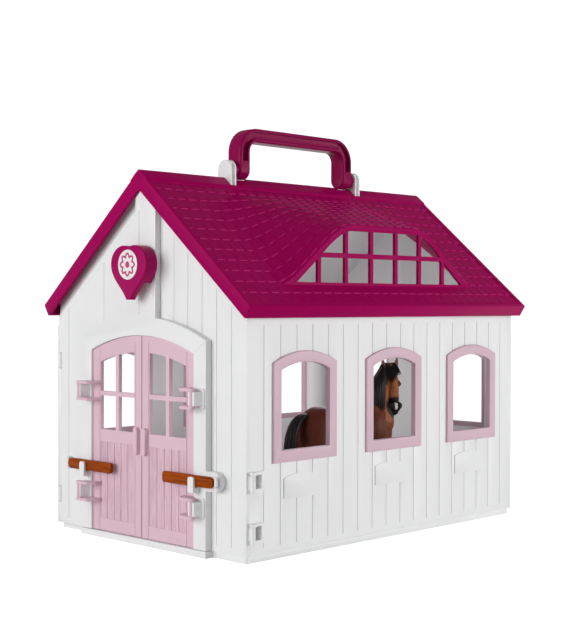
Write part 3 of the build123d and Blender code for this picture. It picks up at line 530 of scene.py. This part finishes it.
for side in ("left", "right"):
    moulded(f"{side}_door_leaf", leaf_pink, "pink_plastic", edge=0.4 * mm)


# Latches: a brown wood-look bar that drops in a white hook, on a white bracket that
# swings clear of the leaf. The bar is moulded with fine grain along its length.
bar_brown = plastic(
    "latch_bar_brown", (0.37, 0.065, 0.001), 0.42, drift=0.10, peel=0.3, shine=0.06
)
nodes, links = bar_brown.node_tree.nodes, bar_brown.node_tree.links
shader = nodes["Principled BSDF"]
skin = next(node for node in nodes if node.type == "GROUP")
place = nodes.new("ShaderNodeTexCoord")
stretch = nodes.new("ShaderNodeMapping")
stretch.inputs["Scale"].default_value = (60, 900, 1500)
links.new(place.outputs["Object"], stretch.inputs["Vector"])
fibre = nodes.new("ShaderNodeTexNoise")
fibre.inputs["Scale"].default_value = 1
fibre.inputs["Detail"].default_value = 4
fibre.inputs["Distortion"].default_value = 0.4
links.new(stretch.outputs["Vector"], fibre.inputs["Vector"])
dark = nodes.new("ShaderNodeMapRange")
dark.inputs["From Min"].default_value = 0.40
dark.inputs["From Max"].default_value = 0.66
links.new(fibre.outputs["Fac"], dark.inputs["Value"])
shaded = nodes.new("ShaderNodeMix")
shaded.data_type = "RGBA"
shaded.blend_type = "MULTIPLY"
shaded.inputs["B"].default_value = (0.5, 0.42, 0.4, 1)
links.new(dark.outputs["Result"], shaded.inputs["Factor"])
links.new(skin.outputs["Colour"], shaded.inputs["A"])
links.new(shaded.outputs["Result"], shader.inputs["Base Color"])
cut = nodes.new("ShaderNodeBump")
cut.inputs["Strength"].default_value = 0.5
cut.inputs["Distance"].default_value = 0.0002
cut.invert = True
links.new(dark.outputs["Result"], cut.inputs["Height"])
links.new(skin.outputs["Normal"], cut.inputs["Normal"])
links.new(cut.outputs["Normal"], shader.inputs["Normal"])
for side in ("left", "right"):
    moulded(f"{side}_latch_bracket", white_plastic, "white_plastic", edge=0.2 * mm)
    moulded(f"{side}_latch_bar", bar_brown, "bar_brown", edge=0.5 * mm)


# Heart catch: the glossy crimson heart over the door, turned by its tip to free the
# panel, with its white retainer ring behind the panel.
heart_crimson = plastic("heart_crimson_plastic", (0.37, 0, 0.10), 0.28, drift=0.04, shine=0.08)
moulded("heart_catch", heart_crimson, "heart_crimson", edge=0.5 * mm)
moulded("catch_retainer", white_plastic, "white_plastic", edge=0.2 * mm)


# Badge: a thin white printed plate on the heart's face, with a plain flower of eight
# petals and a dot of its own in crimson and pink. It is glued in its place.
badge_white = plastic("badge_white_print", (0.84, 0.84, 0.84), 0.35, drift=0.01, peel=0.1)
moulded("heart_badge", badge_white, "badge_print", edge=0.15 * mm)
badge_pink = plastic("badge_pink_print", (0.55, 0.03, 0.16), 0.35, drift=0.05, peel=0.1)
badge_at = Vector((-0.5, -161.1, 192.5)) * mm
bpy.ops.object.select_all(action="DESELECT")
bpy.ops.mesh.primitive_circle_add(vertices=96, radius=8.2 * mm, fill_type="NGON")
flower = bpy.context.object
flower.name = "badge_flower"
for point in flower.data.vertices:
    turn = point.co.to_2d().angle_signed(Vector((1, 0)), 0)
    point.co *= 0.76 + 0.24 * abs(cos(4 * turn))
bpy.ops.object.mode_set(mode="EDIT")
bpy.ops.mesh.select_all(action="SELECT")
bpy.ops.mesh.inset(thickness=1.3 * mm)
bpy.ops.mesh.delete(type="FACE")
bpy.ops.mesh.select_all(action="SELECT")
bpy.ops.mesh.extrude_region_move(TRANSFORM_OT_translate={"value": (0, 0, 0.12 * mm)})
bpy.ops.mesh.select_all(action="SELECT")
bpy.ops.mesh.normals_make_consistent(inside=False)
bpy.ops.object.mode_set(mode="OBJECT")
bpy.ops.object.select_all(action="DESELECT")
bpy.ops.mesh.primitive_uv_sphere_add(segments=32, ring_count=12, radius=1)
dot = bpy.context.object
dot.scale = (2.3 * mm, 2.3 * mm, 0.3 * mm)
pick(flower, dot)
bpy.ops.object.join()
flower = bpy.context.object
flower.rotation_euler = (radians(90), 0, 0)
flower.location = badge_at
bpy.ops.object.transform_apply()
dress(flower, badge_pink, frame["nodes"]["heart_badge"]["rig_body"], "badge_print")


# Toy horse: a bay figure cast in solid plastic and painted by hand, which stands loose on
# the floor with its head turned to the window. Mane, forelock and tail are cast as locks.
horse = Vector((30, 0, 0)) * mm
poll = Vector((31, 78.3, 113)) * mm
nose_end = Vector((45.4, 67.8, 84)) * mm
down_face = (nose_end - poll).normalized()
across_face = Vector((0.575, 0.818, 0)).normalized()
out_of_face = across_face.cross(down_face).normalized()
if out_of_face.x < 0:
    out_of_face.negate()


def on_head(x, y, z):
    """A place on the head: across it, out of its forehead, and down its nose, in mm."""
    return poll + (across_face * x + out_of_face * y + down_face * z) * mm


def beside(x, y, z):
    """A place on the body, in mm, x counted from the horse's middle."""
    return horse + Vector((x, y, z)) * mm


def ball(place, across, deep, tall, turned=False):
    """One rounded mass of the casting, upright or turned with the head."""
    bpy.ops.mesh.primitive_uv_sphere_add(segments=24, ring_count=16, radius=1)
    piece = bpy.context.object
    for point in piece.data.vertices:
        x, y, z = point.co.x * across * mm, point.co.y * deep * mm, point.co.z * tall * mm
        if turned:
            point.co = place + across_face * x + out_of_face * y + down_face * z
        else:
            point.co = place + Vector((x, y, z))
    return piece


def run(path):
    """Masses in a row along a path of places and radii, near enough to make one form."""
    pieces = []
    for (start, near), (end, far) in zip(path, path[1:]):
        steps = max(2, int((end - start).length / (1.6 * mm)))
        for k in range(steps):
            share = k / steps
            radius = near + (far - near) * share
            pieces.append(ball(start.lerp(end, share), radius, radius, radius))
    end, far = path[-1]
    pieces.append(ball(end, far, far, far))
    return pieces


masses = [
    ball(beside(0, -3, 69), 15.5, 19.5, 20.5),
    ball(beside(0, 14, 67), 16.5, 30, 19.0),
    ball(beside(0, 36, 67), 16.0, 24, 19.5),
    ball(beside(0, 54, 72), 13.5, 20, 19.0),
    ball(beside(0, 40, 82), 6.0, 16, 9.0),
]
for side in (-1, 1):
    masses += [
        ball(beside(side * 8, -8, 60), 9.0, 14, 18.0),
        ball(beside(side * 9, 52, 66), 7.5, 12, 17.0),
        ball(beside(side * 5.0, 65, 66), 6.5, 9, 12.0),
    ]
masses += run(
    [(beside(2, 61, 74), 14.0), (beside(1, 66, 88), 10.6), (beside(0, 72, 102), 8.6), (poll, 6.4)]
)
for side, ahead in ((-1, -5), (1, 0)):
    masses += run(
        [
            (beside(side * 8.5, -8 + ahead, 56), 9.5),
            (beside(side * 8.8, -10 + ahead, 42), 6.2),
            (beside(side * 8.8, -16 + ahead, 33), 4.3),
            (beside(side * 8.8, -15.5 + ahead, 28), 3.6),
            (beside(side * 8.8, -13.5 + ahead, 16), 2.9),
            (beside(side * 8.8, -13 + ahead, 13), 3.4),
            (beside(side * 8.8, -10.5 + ahead, 9), 3.0),
        ]
    )
for side, ahead in ((-1, 4), (1, -3)):
    masses += run(
        [
            (beside(side * 8.2, 54 + ahead, 58), 7.0),
            (beside(side * 8.2, 55 + ahead, 44), 4.6),
            (beside(side * 8.2, 55 + ahead, 32), 3.9),
            (beside(side * 8.2, 54.5 + ahead, 27), 3.1),
            (beside(side * 8.2, 54.5 + ahead, 16), 2.8),
            (beside(side * 8.2, 54.5 + ahead, 13), 3.3),
            (beside(side * 8.2, 57 + ahead, 9), 2.9),
        ]
    )
masses += [
    ball(on_head(0, -1.0, 2.0), 6.0, 6.2, 7.0, True),
    ball(on_head(0, 0.8, 10.0), 5.7, 4.6, 9.0, True),
    ball(on_head(0, -1.2, 31.0), 5.0, 4.8, 5.2, True),
    ball(on_head(0, -4.4, 34.2), 3.4, 2.6, 2.6, True),
    ball(on_head(0, -4.0, 26.0), 3.8, 3.6, 8.0, True),
]
for side in (-1, 1):
    masses += [
        ball(on_head(side * 3.3, -5.5, 13.5), 3.0, 7.2, 9.0, True),
        ball(on_head(side * 4.9, 1.5, 12.2), 1.9, 2.0, 3.0, True),
        ball(on_head(side * 3.3, 1.0, 31.5), 2.4, 2.6, 2.8, True),
        ball(on_head(side * 2.6, 2.2, 20), 1.3, 2.2, 9.0, True),
    ]
for k in range(12):
    radius = 4.6 - 1.1 * k / 11
    place = on_head(0, 1.4 - 1.2 * k / 11, 11 + 1.75 * k)
    masses.append(ball(place, radius, radius, radius))
for side in (-1, 1):
    for k, width in enumerate((1.5, 1.8, 2.0, 2.0, 1.8, 1.5, 1.2, 0.8, 0.5)):
        lift = k * 1.1
        place = on_head(side * (4.3 + 0.2 * lift), 0.5 * lift, -1.5 - 0.86 * lift)
        masses.append(ball(place, width, 1.2, 1.3, True))
pick(*masses)
bpy.ops.object.join()
toy_horse = bpy.context.object
toy_horse.name = "toy_horse_casting"
toy_horse.data.remesh_voxel_size = 0.65 * mm
bpy.ops.object.voxel_remesh()
soften = toy_horse.modifiers.new("soften", "SMOOTH")
soften.factor = 0.5
soften.iterations = 5
bpy.ops.object.modifier_apply(modifier=soften.name)

# The hooves are short cones let into the feet
hooves = []
for x, y in ((-8.8, -14.5), (8.8, -9.5), (-8.2, 62.0), (8.2, 55.0)):
    bpy.ops.object.select_all(action="DESELECT")
    bpy.ops.mesh.primitive_cone_add(
        vertices=28, radius1=4.7 * mm, radius2=3.1 * mm, depth=5.2 * mm, location=beside(x, y, 7.12)
    )
    hoof = bpy.context.object
    bpy.ops.object.transform_apply()
    rounding = hoof.modifiers.new("rounded edges", "BEVEL")
    rounding.width = 0.5 * mm
    rounding.segments = 2
    bpy.ops.object.modifier_apply(modifier=rounding.name)
    hooves.append(hoof)
pick(toy_horse, *hooves)
bpy.ops.object.join()
toy_horse = bpy.context.object
bpy.ops.object.shade_smooth_by_angle(angle=radians(50))

coat = toy_horse.data.color_attributes.new("coat", "FLOAT_COLOR", "POINT")
chestnut = Vector((0.115, 0.022, 0.009))
bright = Vector((0.36, 0.115, 0.042))
black = Vector((0.008, 0.006, 0.006))
ear_pink = Vector((0.35, 0.12, 0.11))
muzzle = on_head(0, -1.2, 32)
for index, point in enumerate(toy_horse.data.vertices):
    place = point.co
    height = place.z / mm
    from_head = (place - poll) / mm
    nose = from_head.dot(down_face)
    out = from_head.dot(out_of_face)
    aside = from_head.dot(across_face)
    near_head = from_head.length < 45 and abs(aside) < 9 and out > -14 and nose > -14
    shade = chestnut.lerp(bright, min(max((place.y / mm - 40) / 30, 0), 1) * 0.55)
    shade = shade.lerp(bright, 0.18 * min(max((70 - height) / 30, 0), 1))
    if near_head and nose > -3:
        shade = shade.lerp(bright, min(max((out + 5) / 5, 0), 1) * 0.95)
        shade = shade.lerp(black, min(max((9.6 - (place - muzzle).length / mm) / 2, 0), 1))
        if 30.5 < nose < 35 and abs(aside) < 1.1 and out > 0.8:
            shade = Vector((0.75, 0.73, 0.72))
        if abs(abs(aside) - 5.9) < 1.6 and abs(nose - 12.9) < 2.2 and out > 0:
            shade = shade.lerp(black, 0.85)
    elif near_head and height > 115:
        inner = abs(abs(aside) - 5.2) < 1.1 and point.normal.dot(out_of_face) > 0.3
        shade = ear_pink if inner else chestnut.lerp(black, 0.7)
    if height < 40:
        shade = shade.lerp(black, min((40 - height) / 12, 1))
    coat.data[index].color = (*shade, 1)


def painted_plastic(name, gloss):
    """Hand paint on plastic: the coat's colours, a little uneven, over fine brushed hair."""
    material = bpy.data.materials.new(name)
    material.use_nodes = True
    nodes, links = material.node_tree.nodes, material.node_tree.links
    shader = nodes["Principled BSDF"]
    paint = nodes.new("ShaderNodeAttribute")
    paint.attribute_name = "coat"
    place = nodes.new("ShaderNodeTexCoord")
    stretch = nodes.new("ShaderNodeMapping")
    stretch.inputs["Scale"].default_value = (700, 700, 160)
    links.new(place.outputs["Object"], stretch.inputs["Vector"])
    hair = nodes.new("ShaderNodeTexNoise")
    hair.inputs["Scale"].default_value = 1
    hair.inputs["Detail"].default_value = 4
    links.new(stretch.outputs["Vector"], hair.inputs["Vector"])
    uneven = nodes.new("ShaderNodeMapRange")
    uneven.inputs["From Min"].default_value = 0.3
    uneven.inputs["From Max"].default_value = 0.7
    uneven.inputs["To Min"].default_value = 0.74
    uneven.inputs["To Max"].default_value = 1.2
    links.new(hair.outputs["Fac"], uneven.inputs["Value"])
    tinted = nodes.new("ShaderNodeVectorMath")
    tinted.operation = "SCALE"
    links.new(paint.outputs["Color"], tinted.inputs[0])
    links.new(uneven.outputs["Result"], tinted.inputs["Scale"])
    links.new(tinted.outputs["Vector"], shader.inputs["Base Color"])
    relief = nodes.new("ShaderNodeBump")
    relief.inputs["Strength"].default_value = 0.35
    relief.inputs["Distance"].default_value = 0.0002
    links.new(hair.outputs["Fac"], relief.inputs["Height"])
    links.new(relief.outputs["Normal"], shader.inputs["Normal"])
    shader.inputs["Roughness"].default_value = gloss
    shader.inputs["Specular IOR Level"].default_value = 0.25
    return material


dress(toy_horse, painted_plastic("horse_bay_paint", 0.5), "house", "horse_bay", "toy_horse")

# Eyes: small glossy dark beads under the lids
eye_paint = plastic("horse_eye_paint", (0.012, 0.007, 0.005), 0.12, drift=0.2, peel=0.05)
eyes = [ball(on_head(side * 5.9, 1.9, 12.8), 1.2, 1.4, 1.5, True) for side in (-1, 1)]
pick(*eyes)
bpy.ops.object.join()
eyes = bpy.context.object
eyes.name = "toy_horse_eyes"
bpy.ops.object.shade_smooth()
dress(eyes, eye_paint, "house", "horse_bay")


# Mane, forelock and tail: tapering locks cast with the figure and painted black, each
# lying a little differently from the next.
def locks(name, paths, thick):
    """Tapering strands along paths of places, joined as one mesh."""
    curve = bpy.data.curves.new(name, "CURVE")
    curve.dimensions = "3D"
    curve.bevel_depth = thick * mm
    curve.bevel_resolution = 2
    curve.resolution_u = 6
    curve.use_fill_caps = True
    taper = (1.0, 1.15, 1.1, 0.9, 0.6, 0.15)
    for path in paths:
        strand = curve.splines.new("NURBS")
        strand.points.add(len(path) - 1)
        for k, place in enumerate(path):
            strand.points[k].co = (*place, 1)
            strand.points[k].radius = taper[min(5, round(5 * k / (len(path) - 1)))]
        strand.order_u = 4
        strand.use_endpoint_u = True
    bpy.ops.object.select_all(action="DESELECT")
    piece = bpy.data.objects.new(name, curve)
    bpy.context.collection.objects.link(piece)
    pick(piece)
    bpy.ops.object.convert(target="MESH")
    bpy.ops.object.shade_smooth()
    return bpy.context.object


def swing(k, turn):
    """A repeatable sway between -1 and 1 for the k-th lock."""
    return sin(12.9898 * k + 4.1 * turn)


mane_paths = []
for k in range(22):
    share = k / 21
    crest = beside(0.8, 69, 117).lerp(beside(0, 40, 91), share)
    crest.y += 4 * mm * sin(pi * share)
    fall = (33 - 11 * share + 3 * swing(k, 1)) * mm
    out = Vector((0.62 + 0.25 * swing(k, 2), -0.78, 0)).normalized()
    mane_paths.append(
        [
            crest,
            crest + out * 4.2 * mm + Vector((0, 0, 1.0)) * mm,
            crest + out * 9.0 * mm + Vector((0, 0, -0.22)) * fall,
            crest + out * (12.2 + swing(k, 3)) * mm + Vector((0, 0, -0.5)) * fall,
            crest + out * (14.2 + 1.6 * swing(k, 4)) * mm + Vector((0, 0, -0.8)) * fall,
            crest + out * (14.6 + 2.2 * swing(k, 5)) * mm + Vector((0, 0, -1.08)) * fall,
        ]
    )
forelock_paths = []
for k in range(13):
    spread = (k - 6) * 0.85
    reach = 10.5 + 3.6 * swing(k, 6)
    forelock_paths.append(
        [
            on_head(spread * 0.5, -5.0, -4.0),
            on_head(spread * 0.5, 0.5, -7.0),
            on_head(spread * 0.7, 5.6, -3.5),
            on_head(spread * 1.05, 6.6, reach * 0.4),
            on_head(spread * 1.2, 6.5 + 0.4 * swing(k, 7), reach * 0.75),
            on_head(spread * 1.35 + 0.8 * swing(k, 8), 6.4, reach),
        ]
    )
tail_paths = []
for k in range(16):
    away = Vector((cos(2.4 * k), 0.8 * sin(2.4 * k), 0)) * (1.2 + 0.16 * k) * mm
    end = 14 + 9 * (0.5 + 0.5 * swing(k, 9))
    tail_paths.append(
        [
            beside(0, -18, 83) + away * 0.4,
            beside(0, -25, 82.5) + away * 0.7,
            beside(0, -32, 73) + away * 1.0,
            beside(0, -34, 56) + away * 1.3,
            beside(0, -34, 38) + away * 1.4,
            beside(0.6 * swing(k, 10), -31, end) + away * 0.8,
        ]
    )
hair_black = plastic(
    "horse_hair_paint", (0.006, 0.005, 0.005), 0.45, drift=0.3, peel=0.6, shine=0.25
)
for name, paths, thick in (
    ("toy_horse_mane", mane_paths, 1.75),
    ("toy_horse_forelock", forelock_paths, 0.85),
    ("toy_horse_tail", tail_paths, 1.9),
):
    dress(locks(name, paths, thick), hair_black, "house", "horse_bay")


# Floor, light and camera: a plain pale studio floor, a large soft lamp before the front,
# a smaller one low at the right rear, two faint ones inside, and a camera where the
# photograph was taken from.
def painted(name, colour, camera_light):
    """A matt studio surface that also shows light of its own to camera, gloss and glass."""
    material = bpy.data.materials.new(name)
    material.use_nodes = True
    nodes, links = material.node_tree.nodes, material.node_tree.links
    shader = nodes["Principled BSDF"]
    shader.inputs["Base Color"].default_value = (*colour, 1)
    shader.inputs["Roughness"].default_value = 0.9
    shader.inputs["Specular IOR Level"].default_value = 0
    path = nodes.new("ShaderNodeLightPath")
    either = nodes.new("ShaderNodeMath")
    either.operation = "MAXIMUM"
    links.new(path.outputs["Is Camera Ray"], either.inputs[0])
    links.new(path.outputs["Is Glossy Ray"], either.inputs[1])
    any_of = nodes.new("ShaderNodeMath")
    any_of.operation = "MAXIMUM"
    links.new(either.outputs["Value"], any_of.inputs[0])
    links.new(path.outputs["Is Transmission Ray"], any_of.inputs[1])
    glow = nodes.new("ShaderNodeMath")
    glow.operation = "MULTIPLY"
    glow.inputs[1].default_value = camera_light
    links.new(any_of.outputs["Value"], glow.inputs[0])
    shader.inputs["Emission Color"].default_value = (1, 1, 1, 1)
    links.new(glow.outputs["Value"], shader.inputs["Emission Strength"])
    return material


bpy.ops.object.select_all(action="DESELECT")
bpy.ops.mesh.primitive_plane_add(size=12)
floor = bpy.context.object
floor.name = "studio_floor"
floor.data.materials.append(painted("studio_floor_paint", (0.80, 0.80, 0.80), 0.78))

world = bpy.data.worlds.new("studio")
bpy.context.scene.world = world
world.use_nodes = True
nodes, links = world.node_tree.nodes, world.node_tree.links
air = nodes["Background"]
air.inputs["Color"].default_value = (1, 1, 1, 1)
path = nodes.new("ShaderNodeLightPath")
either = nodes.new("ShaderNodeMath")
either.operation = "MAXIMUM"
links.new(path.outputs["Is Camera Ray"], either.inputs[0])
links.new(path.outputs["Is Transmission Ray"], either.inputs[1])
level = nodes.new("ShaderNodeMapRange")
level.inputs["To Min"].default_value = 0.3
level.inputs["To Max"].default_value = 1.1
links.new(either.outputs["Value"], level.inputs["Value"])
links.new(level.outputs["Result"], air.inputs["Strength"])

for name, place, size, energy in (
    ("key", (-0.4, -2.2, 0.28), 1.7, 43),
    ("fill", (1.3, 0.65, 0.06), 0.9, 19),
):
    lamp = bpy.data.lights.new(name, "AREA")
    lamp.size = size
    lamp.energy = energy
    holder = bpy.data.objects.new(name, lamp)
    bpy.context.collection.objects.link(holder)
    holder.location = place
    towards = Vector((0, 0, 0.10)) - Vector(place)
    holder.rotation_euler = towards.to_track_quat("-Z", "Y").to_euler()

# Light that comes through the thin white roof and walls
for name, place, energy in (
    ("inside", (0, 0.04, 0.12), 0.08),
    ("under_roof", (-0.03, -0.1, 0.185), 0.02),
):
    lamp = bpy.data.lights.new(name, "POINT")
    lamp.shadow_soft_size = 0.02
    lamp.energy = energy
    holder = bpy.data.objects.new(name, lamp)
    bpy.context.collection.objects.link(holder)
    holder.location = place

camera = bpy.data.objects.new("camera", bpy.data.cameras.new("camera"))
bpy.context.collection.objects.link(camera)
camera.location = (0.6974, -0.7171, 0.1668)
camera.rotation_euler = (radians(90 - 0.756), radians(-0.126), radians(44.584))
camera.data.lens = 73.35
camera.data.sensor_width = 36
bpy.context.scene.camera = camera
bpy.context.scene.view_settings.view_transform = "Standard"
